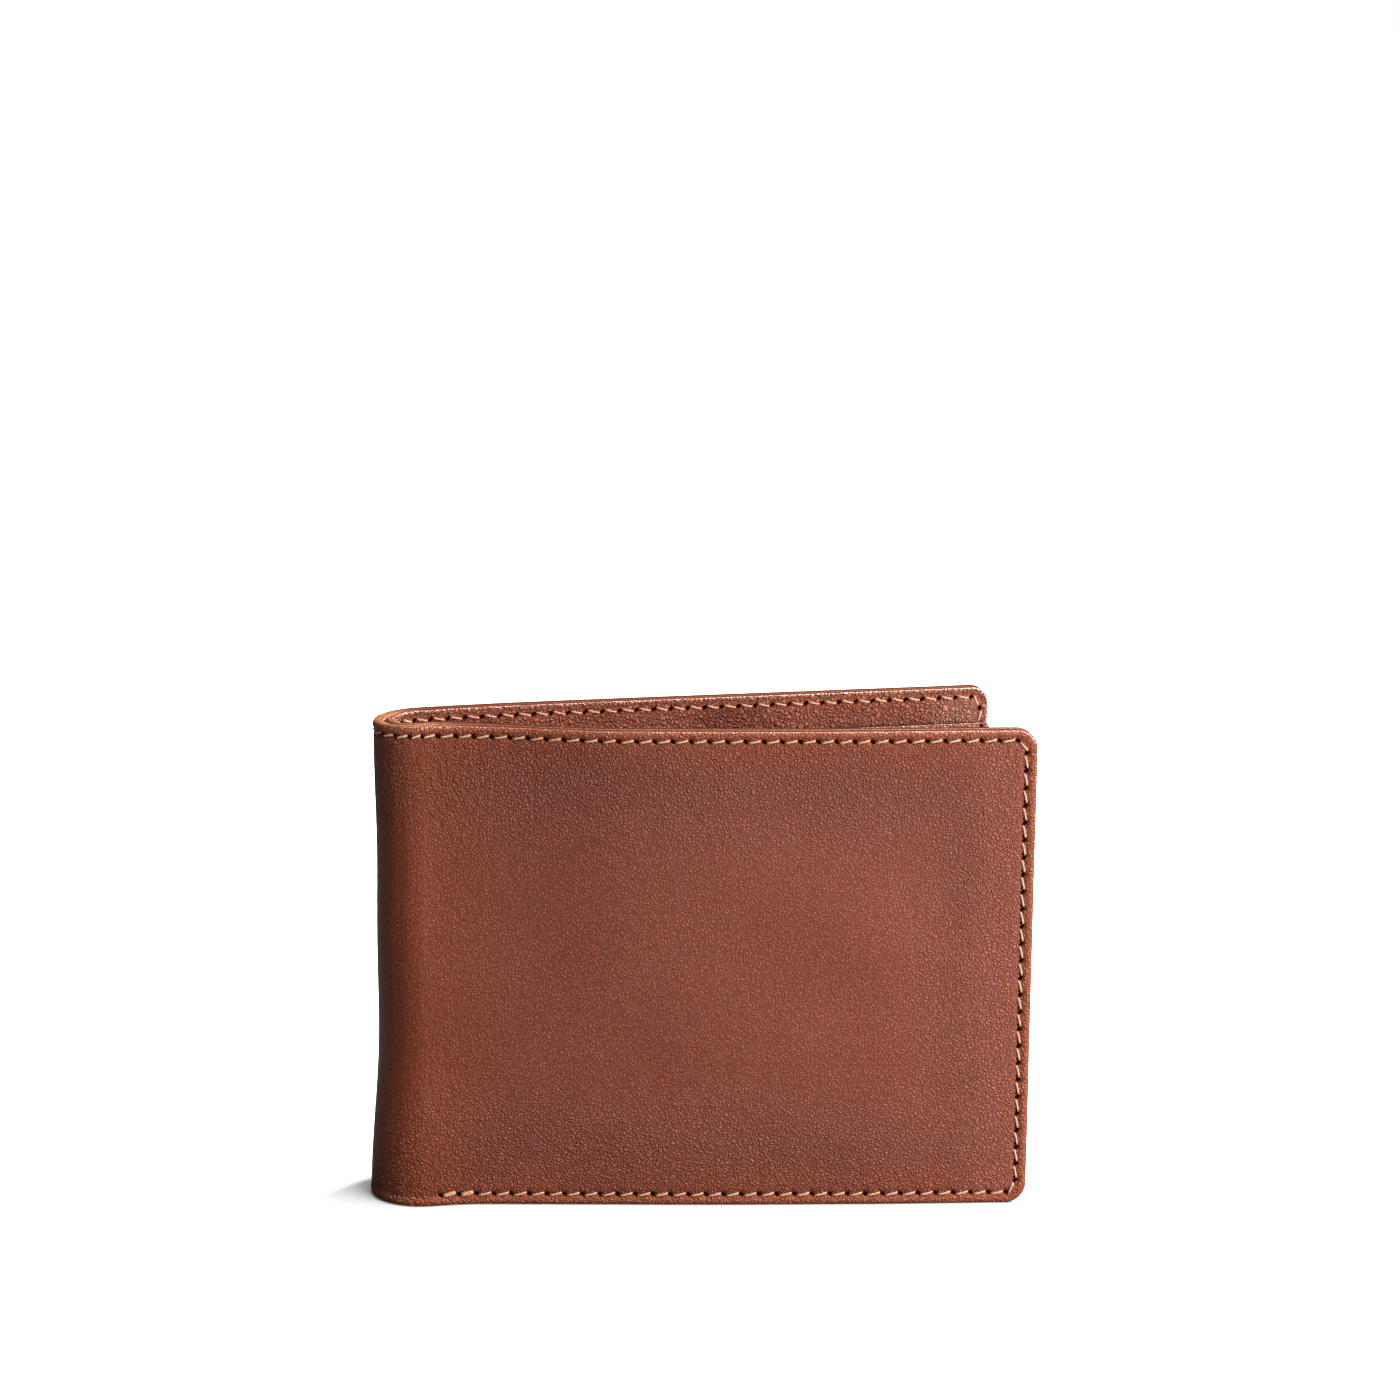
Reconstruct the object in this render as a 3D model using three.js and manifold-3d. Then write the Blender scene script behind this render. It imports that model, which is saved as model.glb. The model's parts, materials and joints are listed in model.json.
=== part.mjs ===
// A bifold leather wallet. It stands on its bottom edge, a little open, with the spine at -X, the front half facing -Y
// and the back half behind it. Millimetres, +Z up, origin at the centre of the footprint.
// The leather is one long strip bent round the spine. A place on it is given by s, the distance along the strip from
// the fold line (positive towards the free edge of a half), and n, the depth from the outer face towards the inside.
import * as THREE from "three";
import { mergeVertices } from "three/addons/utils/BufferGeometryUtils.js";
import Module from "manifold-3d";

const wasm = await Module();
wasm.setup();

// --- Driving dimensions ---
const HEIGHT = 87.5;
const REACH = 121.5; // fold line to the free edge of either half, along the leather
const OPENING = THREE.MathUtils.degToRad(12.5); // between the halves at rest
const BEND = 28; // leather that bends round the spine, half of it on each side of the fold line
const HINGES = 4; // hinge lines that share the fold, evenly spaced along BEND
const HINGE_GAP = 0.3; // from a hinge line to the end of the leather, on each side
const CORNER = 3.6; // radius of the free corners
const GAP = 0.2; // between layers that lie on each other

const SHELL = 1.2;
const BOARD = 0.4;
const LINING = 0.6;
const BILL_ROOM = 0.8; // the note compartment, empty
const PANEL = 0.5;
const SLIP_ROOM = 0.3; // the slip pocket behind the card slots, empty
const POCKET = 0.7;

const HEM = 0.5; // how far inner layers stay inside the shell's bottom and free edges
const BILL_WALL_TOP = HEIGHT - 6.5;
const BOARD_MARGIN = 3.5; // from the shell's edge to the stiffener
const SLOTS = 3; // card slots above the card pocket
const SLOT_STEP = 8.5; // between the mouths of neighbouring slots
const PANEL_SHOWS = 6; // how much of the card panel stands above the first slot
const POCKET_TOP = 45.5;
const SLOT_STRIP = 14; // height of each slot's leather strip
const CARD_ROOM = 50; // depth of a slot, from its mouth to the foot of its backing
const STACK_START = 20; // s where the card slots begin, beside the spine
const BACKING_INSET = 4; // how much narrower a slot's backing is on each side
const MOUTH_CORNER = 1.2; // radius of the card slots' corners

const SEAM_INSET = 2; // stitching to the edge of the leather
const SEAM_START = 18; // s where the bottom seam begins
const THREAD = 0.4;
const THREAD_WIDTH = 0.6;
const CHANNEL = 0.6; // depth of the channel that the stitching lies in
const CHANNEL_WIDTH = 1;

const TURN = Math.PI - OPENING;
const OUTER_RADIUS = BEND / TURN + SHELL / 2;
const HINGE_STEP = BEND / HINGES;
const HALF_START = (BEND - HINGE_STEP) / 2; // s of the hinge line at the root of a half

// Depths at which the inner layers begin.
const BOARD_AT = SHELL + GAP;
const LINING_AT = BOARD_AT + BOARD + GAP;
const BILL_WALL_AT = LINING_AT + LINING + BILL_ROOM;
const CARD_PANEL_AT = BILL_WALL_AT + LINING + SLIP_ROOM;
const FIRST_SLOT_AT = CARD_PANEL_AT + PANEL + GAP;
const POCKET_AT = FIRST_SLOT_AT + SLOTS * (PANEL + GAP);
const THREAD_AT = (CHANNEL - THREAD) / 2;

const FINISHES = {
  leather: { color: 0x8a4430, roughness: 0.55, metalness: 0 },
  lining: { color: 0x7c3f2d, roughness: 0.6, metalness: 0 },
  backing: { color: 0x4a3328, roughness: 0.9, metalness: 0 },
  board: { color: 0xb59a78, roughness: 0.9, metalness: 0 },
  thread: { color: 0xd9a878, roughness: 0.7, metalness: 0 },
};

// --- Solids ---
function solidOf(geometry) {
  const bare = geometry.index ? geometry.toNonIndexed() : geometry.clone();
  bare.deleteAttribute("normal");
  bare.deleteAttribute("uv");
  const merged = mergeVertices(bare, 1e-4);
  const vertProperties = merged.attributes.position.array;
  const triVerts = new Uint32Array(merged.index.array);
  return new wasm.Manifold(new wasm.Mesh({ numProp: 3, vertProperties, triVerts }));
}

function geometryOf(solid) {
  const { vertProperties, triVerts } = solid.getMesh();
  return new THREE.BufferGeometry()
    .setAttribute("position", new THREE.BufferAttribute(vertProperties, 3))
    .setIndex(new THREE.BufferAttribute(triVerts, 1));
}

function named(name, solid, finish) {
  const mesh = new THREE.Mesh(geometryOf(solid), new THREE.MeshStandardMaterial(FINISHES[finish]));
  mesh.name = name;
  return mesh;
}

// --- The bent strip, in a half's own frame: the spine's centre of curvature is at the origin, and the flat part of
// the front half runs along +X with its inside towards +Y. ---
function planPoint(s, n) {
  const radius = OUTER_RADIUS - n;
  if (s >= BEND / 2) return new THREE.Vector2(s - BEND / 2, -radius);
  const angle = -Math.PI / 2 - ((BEND / 2 - s) / BEND) * TURN;
  return new THREE.Vector2(radius * Math.cos(angle), radius * Math.sin(angle));
}

// A wall of leather that follows the strip from s0 to s1, between the depths n0 and n1 and the heights z0 and z1.
function wall(s0, s1, n0, n1, z0, z1) {
  const bentTo = Math.min(s1, BEND / 2);
  const steps = Math.ceil(bentTo - s0);
  const stops = Array.from({ length: steps + 1 }, (_, i) => s0 + ((bentTo - s0) * i) / steps);
  if (s1 > bentTo) stops.push(s1);
  const outer = stops.map((s) => planPoint(s, n0));
  const inner = stops.map((s) => planPoint(s, n1)).reverse();
  const outline = new THREE.Shape([...outer, ...inner]);
  const geometry = new THREE.ExtrudeGeometry(outline, { depth: z1 - z0, bevelEnabled: false });
  return solidOf(geometry.translate(0, 0, z0));
}

// --- Flat sheets on a half, drawn in x along the half and z up ---
const flatX = (s) => s - BEND / 2;
const FREE_EDGE = flatX(REACH);

function laid(shape, n0, n1) {
  const geometry = new THREE.ExtrudeGeometry(shape, { depth: n1 - n0, bevelEnabled: false, curveSegments: 6 });
  geometry.rotateX(Math.PI / 2).translate(0, n1 - OUTER_RADIUS, 0);
  return solidOf(geometry);
}

// A rectangle whose two corners at the free edge may be round.
function sheetShape(x0, x1, z0, z1, topRadius = 0, bottomRadius = 0) {
  const shape = new THREE.Shape().moveTo(x0, z0).lineTo(x1 - bottomRadius, z0);
  if (bottomRadius) shape.absarc(x1 - bottomRadius, z0 + bottomRadius, bottomRadius, -Math.PI / 2, 0);
  shape.lineTo(x1, z1 - topRadius);
  if (topRadius) shape.absarc(x1 - topRadius, z1 - topRadius, topRadius, 0, Math.PI / 2);
  return shape.lineTo(x0, z1);
}

// A band of stitching that runs along the top from the spine, down the free edge and back along the bottom.
function seamShape(width) {
  const near = SEAM_INSET - width / 2;
  const far = SEAM_INSET + width / 2;
  const x = FREE_EDGE - CORNER;
  const bottomX = flatX(SEAM_START);
  const shape = new THREE.Shape().moveTo(bottomX, near).lineTo(x, near);
  shape.absarc(x, CORNER, CORNER - near, -Math.PI / 2, 0);
  shape.absarc(x, HEIGHT - CORNER, CORNER - near, 0, Math.PI / 2);
  shape.lineTo(0, HEIGHT - near).lineTo(0, HEIGHT - far);
  shape.absarc(x, HEIGHT - CORNER, CORNER - far, Math.PI / 2, 0, true);
  shape.absarc(x, CORNER, CORNER - far, 0, -Math.PI / 2, true);
  return shape.lineTo(bottomX, far);
}

function seamRoundSpine(s0, s1, width, n0, n1) {
  const middle = HEIGHT - SEAM_INSET;
  return wall(s0, s1, n0, n1, middle - width / 2, middle + width / 2);
}

function halfSeam(width, n0, n1, start) {
  return laid(seamShape(width), n0, n1).add(seamRoundSpine(start, BEND / 2 + 1, width, n0, n1));
}

// The stitching of a card pocket: down beside the spine, along the bottom and up beside the free edge.
function pocketSeamShape(x0, x1, z0, z1) {
  const w = THREAD;
  const shape = new THREE.Shape().moveTo(x0, z1).lineTo(x0, z0).lineTo(x1, z0).lineTo(x1, z1);
  return shape.lineTo(x1 - w, z1).lineTo(x1 - w, z0 + w).lineTo(x0 + w, z0 + w).lineTo(x0 + w, z1);
}

// --- One half, from its hinge line to the free edge ---
function half(side) {
  const group = new THREE.Group();
  const put = (name, solid, finish) => group.add(named(`${side}_${name}`, solid, finish));
  const start = HALF_START + HINGE_GAP;
  const innerEdge = FREE_EDGE - HEM;
  const innerCorner = CORNER - HEM;
  const bentEnd = -OUTER_RADIUS; // no leather of the half reaches beyond it

  const outline = laid(sheetShape(bentEnd, FREE_EDGE, 0, HEIGHT, CORNER, CORNER), -1, OUTER_RADIUS);
  const shell = wall(start, REACH, 0, SHELL, 0, HEIGHT).intersect(outline);
  put("shell", shell.subtract(halfSeam(CHANNEL_WIDTH, -1, CHANNEL, HALF_START)), "leather");
  put("edge_stitching", halfSeam(THREAD_WIDTH, THREAD_AT, THREAD_AT + THREAD, start), "thread");

  const board = sheetShape(1, FREE_EDGE - BOARD_MARGIN, BOARD_MARGIN, HEIGHT - BOARD_MARGIN, 3, 3);
  put("stiffener", laid(board, BOARD_AT, BOARD_AT + BOARD), "board");

  const inside = laid(sheetShape(bentEnd, innerEdge, HEM, HEIGHT, innerCorner, innerCorner), 0, OUTER_RADIUS);
  put("lining", wall(start, REACH, LINING_AT, LINING_AT + LINING, 0, HEIGHT).intersect(inside), "lining");
  const onLining = LINING_AT + LINING + GAP;
  const seamZ = HEIGHT - SEAM_INSET;
  const topSeam = sheetShape(1, innerEdge - SEAM_INSET, seamZ - THREAD / 2, seamZ + THREAD / 2);
  put("lining_stitching", laid(topSeam, onLining, onLining + THREAD), "thread");

  const billWall = sheetShape(flatX(SEAM_START), innerEdge, HEM, BILL_WALL_TOP, MOUTH_CORNER, innerCorner);
  put("bill_wall", laid(billWall, BILL_WALL_AT, BILL_WALL_AT + LINING), "lining");

  const stack = flatX(STACK_START);
  const firstMouth = POCKET_TOP + SLOTS * SLOT_STEP;
  const panel = sheetShape(stack, innerEdge, HEM, firstMouth + PANEL_SHOWS, MOUTH_CORNER, innerCorner);
  put("card_panel", laid(panel, CARD_PANEL_AT, CARD_PANEL_AT + PANEL), "lining");
  for (let i = 0; i < SLOTS; i++) {
    const mouth = firstMouth - i * SLOT_STEP;
    const stripFoot = mouth - SLOT_STRIP;
    const at = FIRST_SLOT_AT + i * (PANEL + GAP);
    const strip = sheetShape(stack, innerEdge, stripFoot, mouth, MOUTH_CORNER);
    put(`card_slot_${i + 1}`, laid(strip, at, at + PANEL), "leather");
    const foot = Math.max(mouth - CARD_ROOM, CORNER);
    const backing = sheetShape(stack + BACKING_INSET, innerEdge - BACKING_INSET, foot, stripFoot - GAP);
    put(`slot_backing_${i + 1}`, laid(backing, at, at + PANEL), "backing");
  }
  const pocket = sheetShape(stack, innerEdge, HEM, POCKET_TOP, MOUTH_CORNER, innerCorner);
  put("card_pocket", laid(pocket, POCKET_AT, POCKET_AT + POCKET), "leather");
  const onPocket = POCKET_AT + POCKET + GAP;
  const pocketSeam = pocketSeamShape(stack + SEAM_INSET, innerEdge - SEAM_INSET, HEM + SEAM_INSET, POCKET_TOP - 1);
  put("pocket_stitching", laid(pocketSeam, onPocket, onPocket + THREAD), "thread");
  return group;
}

// --- The spine: strips of shell and lining between the hinge lines. s is negative on the back's side of the fold. ---
function spine() {
  const group = new THREE.Group();
  ["back", "middle", "front"].forEach((place, i) => {
    const s0 = i * HINGE_STEP - HALF_START;
    const s1 = s0 + HINGE_STEP;
    const ends = [s0 + HINGE_GAP, s1 - HINGE_GAP];
    const channel = seamRoundSpine(s0, s1, CHANNEL_WIDTH, -1, CHANNEL);
    const thread = seamRoundSpine(...ends, THREAD_WIDTH, THREAD_AT, THREAD_AT + THREAD);
    group.add(named(`spine_shell_${place}`, wall(...ends, 0, SHELL, 0, HEIGHT).subtract(channel), "leather"));
    group.add(named(`spine_stitching_${place}`, thread, "thread"));
    group.add(named(`spine_lining_${place}`, wall(...ends, LINING_AT, LINING_AT + LINING, HEM, HEIGHT), "lining"));
  });
  return group;
}

// --- Assembly. The back half is the front half mirrored through its own plane and turned by the opening. ---
const back = half("back");
back.scale.y = -1;
back.rotation.z = OPENING;

const wallet = new THREE.Group().add(half("front"), back, spine());
const extent = new THREE.Box3().setFromObject(wallet, true);
const middle = extent.getCenter(new THREE.Vector3());
wallet.position.set(-middle.x, -middle.y, -extent.min.z);

export default wallet;
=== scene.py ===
"""The looks of a bifold leather wallet, standing a little open.

The leather is one long strip bent round the spine, and every piece is drawn flat and then laid on that strip.
A place on the strip is (s, z, n): s runs along the strip from the fold line, positive on the front half and
negative on the back half, z is the height, and n is the depth below the outer face. All are in millimetres.
"""

import json
import math
from collections import namedtuple

import bpy
import numpy as np
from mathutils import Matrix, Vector


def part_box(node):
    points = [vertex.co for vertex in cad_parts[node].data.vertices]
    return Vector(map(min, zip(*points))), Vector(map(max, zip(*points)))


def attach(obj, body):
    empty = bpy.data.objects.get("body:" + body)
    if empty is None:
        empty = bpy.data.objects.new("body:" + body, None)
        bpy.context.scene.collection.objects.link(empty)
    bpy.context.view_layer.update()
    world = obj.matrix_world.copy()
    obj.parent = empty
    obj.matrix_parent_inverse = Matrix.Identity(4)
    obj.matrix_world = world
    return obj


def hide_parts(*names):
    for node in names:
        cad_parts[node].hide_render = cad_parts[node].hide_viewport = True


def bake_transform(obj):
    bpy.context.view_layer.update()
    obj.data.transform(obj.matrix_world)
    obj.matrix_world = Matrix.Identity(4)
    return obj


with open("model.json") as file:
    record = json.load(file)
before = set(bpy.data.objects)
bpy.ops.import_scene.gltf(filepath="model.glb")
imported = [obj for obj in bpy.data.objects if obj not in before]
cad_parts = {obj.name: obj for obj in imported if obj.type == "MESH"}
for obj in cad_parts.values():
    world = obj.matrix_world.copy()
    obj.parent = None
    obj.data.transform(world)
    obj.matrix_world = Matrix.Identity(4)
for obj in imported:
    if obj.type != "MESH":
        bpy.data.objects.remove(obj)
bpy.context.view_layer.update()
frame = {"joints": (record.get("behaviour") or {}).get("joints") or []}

MM = 0.001

# --- Camera, set so that the outline falls where it does in the photograph ---
LENS = 85
ELEVATION = math.radians(11.8)
DISTANCE = 577.3 * MM
AIM = Vector((-19.6, -21.6, 93.0)) * MM
SIDE_SHIFT = 0.0777

# --- The strip, worked out from the frame's hinges and boxes ---
hinges = [Vector(joint["pos_m"]) / MM for joint in frame["joints"]]
STEP_ANGLE = (hinges[2] - hinges[1]).angle(hinges[1] - hinges[0])
TURN = len(hinges) * STEP_ANGLE
HINGE_RADIUS = (hinges[1] - hinges[0]).length / (2 * math.sin(STEP_ANGLE / 2))
BEND = HINGE_RADIUS * TURN
HINGE_STEP = BEND / len(hinges)
HALF_BEND = BEND / 2
front_low, front_high = (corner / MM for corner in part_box("front_shell"))
HEIGHT = front_high.z
chord = hinges[2] - hinges[1]
chord_to_centre = math.sqrt(HINGE_RADIUS**2 - chord.length_squared / 4)
inward = Vector((-chord.y, chord.x, 0)).normalized() * (1 if -chord.y > 0 else -1)
CENTRE = (hinges[1] + hinges[2]) / 2 + inward * chord_to_centre
OUTER_RADIUS = CENTRE.y - front_low.y
REACH = front_high.x - CENTRE.x + HALF_BEND

# --- Leather ---
SHELL = 2 * (OUTER_RADIUS - HINGE_RADIUS)
LINING = 0.6
LINING_GLUE = 0.2
SHELL_RIM = 0.6
LINING_RIM = 0.3
CORNER = 3.6
INNER_CORNER = CORNER - 0.5
MOUTH_CORNER = 1.2
HEM_WIDTH = 3.3
HEM = 0.6
HEM_STEP = 0.3
SHELL_PUFF = 0.13
LINING_PUFF = 0.3
LINING_SWELL = 0.14
SHELL_SPLIT = 20.0
CARD_SLOTS = (1, 2, 3)

# --- How the relaxed leather stands off the plain bent strip ---
PINCH = 4.5
FLARE = 2.2
FLARE_TOP = 30
WAIST = 0.3
WAIST_AT_MID_HEIGHT = 0.35
FRONT_TIP_IN = 0.9
FRONT_BELLY = 0.3
BACK_TIP_IN = 1.4
BACK_BELLY = 1.1
WAVINESS = 0.12
WAVE_LENGTH = 38
LOOSE_LINING = 0.5

# --- Sewing ---
SEAM_INSET = 2.0
STITCHES_ALONG_TOP = 37
STITCHES_AROUND_END = 27
CORNER_RUN = math.pi / 2 * (CORNER - SEAM_INSET)
STRAIGHT_END = HEIGHT - 2 * CORNER
END_RUN = STRAIGHT_END + 2 * CORNER_RUN
TOP_RUN = REACH - CORNER
PITCH = TOP_RUN / STITCHES_ALONG_TOP
BOTTOM_STITCHES = 32
BACKTACK = 2
BACKTACK_STEP = 0.3
STACK_SEAM = 22.0
STACK_SEAM_TOP = 75.0
THREAD_RADIUS = 0.18
STRANDS = 3
STRAND_RELIEF = 0.11
TURNS_PER_STITCH = 1.4
END_TAPER = 0.25
FLATTENING = 0.85
# How far a stitch bows out and how deep its ends lie, in radii of the thread.
BOW = 2.4
SINK = 1.9
HOLE_LENGTH = 0.58
HOLE_WIDTH = 0.36
HOLE_ANGLE = math.radians(32)
HOLE_DEPTH = 0.5
SLIT_REACH = 0.9
NEAR_HOLE = 2
HOLE_OFFSETS = (-0.42, -0.2, 0.0, 0.2, 0.42)
TROUGH_DEPTH = 0.14
TROUGH_WIDTH = 0.7
TROUGH_REACH = 2.6
PULL_DEPTH = 0.1
PULL_REACH = 0.9
OUTER_SEAM_DEPTH = 0.14
INNER_SEAM_DEPTH = 0.1
# How much of the shell's seam relief shows on the leather inside.
RELIEF_ON_LINING = 0.8
RELIEF_ON_LAYERS = 0.6

# --- Fineness of the meshes ---
STRIP_STEP_S = 1.1
STRIP_STEP_Z = 1.3
LAYER_STEP = 1.5
HIDDEN_STRIDE = 4
FAR_AWAY = 99.0


# --- Small functions ---
def ease(value, low, high):
    t = np.clip((value - low) / (high - low), 0, 1)
    return t * t * (3 - 2 * t)


def hill(value, centre, before, after):
    width = np.where(value < centre, before, after)
    return 0.5 + 0.5 * np.cos(np.pi * np.clip((value - centre) / width, -1, 1))


def bell(value, width, power=2):
    return np.exp(-((value / width) ** power))


def waves(s, z, seed, length, count=7):
    """Gentle unevenness between about -1 and 1, with waves about the given length long."""
    rng = np.random.default_rng(seed)
    total = np.zeros(np.broadcast(s, z).shape)
    for _ in range(count):
        angle = rng.uniform(0, np.pi)
        k = 2 * np.pi / (length * rng.uniform(0.7, 1.6))
        total += np.sin(k * (s * np.cos(angle) + z * np.sin(angle)) + rng.uniform(0, 2 * np.pi))
    return total / math.sqrt(count)


def unit(vectors):
    return vectors / np.maximum(np.linalg.norm(vectors, axis=-1, keepdims=True), 1e-12)


# --- From the flat strip to the standing wallet ---
def lean(s, z):
    """How far the relaxed leather lies inside the plain bent strip: the fold is pinched at the top of the
    front, flares at its foot and is a little narrower at mid-height, and both halves bow slightly."""
    up = np.clip(z / HEIGHT, 0, 1)
    pinch = PINCH * hill(s, centre=17, before=19, after=34) * up**1.4
    flare = -FLARE * hill(s, centre=6, before=13, after=18) * (1 - ease(z, 0, FLARE_TOP))
    waist = hill(s, centre=0, before=12, after=12) * (WAIST + WAIST_AT_MID_HEIGHT * np.sin(np.pi * up))
    front = FRONT_TIP_IN * ease(s, 92, 122) - FRONT_BELLY * hill(s, centre=62, before=36, after=50)
    back = BACK_TIP_IN * ease(-s, 60, 122) - BACK_BELLY * hill(-s, centre=30, before=32, after=60)
    return pinch + flare + waist + front + back + WAVINESS * waves(s, z, seed=5, length=WAVE_LENGTH)


def place(s, z, n):
    """Points in the row frame, in metres."""
    s, z, n = np.broadcast_arrays(s, z, n)
    bent = np.clip(s, -HALF_BEND, HALF_BEND)
    angle = -np.pi / 2 - (HALF_BEND - bent) / BEND * TURN
    radius = OUTER_RADIUS - n - lean(s, z)
    x = CENTRE.x + radius * np.cos(angle) - (s - bent) * np.sin(angle)
    y = CENTRE.y + radius * np.sin(angle) + (s - bent) * np.cos(angle)
    return np.stack([x, y, z], -1) * MM


# --- Meshes ---
def make_piece(name, points, faces, material, normals=None, values=None):
    mesh = bpy.data.meshes.new(name)
    mesh.from_pydata(points.tolist(), [], faces)
    mesh.shade_smooth()
    for key, value in (values or {}).items():
        kind, field = ("FLOAT_VECTOR", "vector") if value.ndim == 2 else ("FLOAT", "value")
        attribute = mesh.attributes.new(key, kind, "POINT")
        attribute.data.foreach_set(field, value.astype(np.float32).ravel())
    if normals is not None:
        mesh.normals_split_custom_set_from_vertices(normals.tolist())
    mesh.materials.append(material)
    piece = bpy.data.objects.new(name, mesh)
    bpy.context.scene.collection.objects.link(piece)
    return piece


def grid_normals(points):
    """Normals of a grid of points, pointing to the outside of the strip."""
    return unit(np.cross(np.gradient(points, axis=0), np.gradient(points, axis=1)))


def grid_quads(corner):
    """The quads between the points of a grid, from the grid of their numbers."""
    return np.stack([corner[:-1, :-1], corner[1:, :-1], corner[1:, 1:], corner[:-1, 1:]], -1).reshape(-1, 4)


def spread(start, end, wanted, step, least=0.09):
    """Grid lines from start to end: the wanted ones, none closer than least to one that came before it, and
    others so that no gap exceeds step."""
    kept = [start, end]
    for value in wanted:
        if start < value < end and min(abs(value - other) for other in kept) >= least:
            kept.append(value)
    kept.sort()
    result = []
    for low, high in zip(kept, kept[1:]):
        parts = math.ceil((high - low) / step - 1e-6)
        result += [low + (high - low) * i / parts for i in range(parts)]
    return np.array(result + [end])


def rim_lines(radius, band_end=3.4, band_step=0.26):
    """Distances from an edge at which the grid has a line: round the rim, then across a band beside it."""
    round_rim = [radius * (1 - math.cos(math.radians(a))) for a in (22.5, 45, 67.5, 90)]
    count = max(0, math.ceil((band_end - radius) / band_step))
    return round_rim + [radius + (band_end - radius) * (i + 1) / count for i in range(count)]


def rounding(edge, radius):
    inside = np.clip(radius - edge, 0, radius)
    return radius - np.sqrt(np.maximum(radius**2 - inside**2, 0))


def round_corner(s, z, corner_s, corner_z, radius):
    """Moves the grid points in one corner square so that rings round the corner become arcs."""
    sign_s = -1 if corner_s < np.mean(s) else 1
    sign_z = -1 if corner_z < np.mean(z) else 1
    p = sign_s * (s - corner_s) + radius
    q = sign_z * (z - corner_z) + radius
    within = (p > 0) & (q > 0)
    ring = np.maximum(p, q)
    safe = np.where(within, ring, 1)
    angle = np.where(q >= p, np.pi / 4 * p / safe, np.pi / 2 - np.pi / 4 * q / safe)
    new_s = corner_s + sign_s * (ring * np.sin(angle) - radius)
    new_z = corner_z + sign_z * (ring * np.cos(angle) - radius)
    return np.where(within, new_s, s), np.where(within, new_z, z)


def hidden_lines(values, rim):
    """Which grid lines the hidden face keeps: all of those on the round rim, and every few of the others."""
    from_end = np.minimum(values - values[0], values[-1] - values)
    on_rim = from_end <= rim * 1.01
    return [i for i in range(len(values)) if on_rim[i] or i % HIDDEN_STRIDE == 0]


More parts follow.
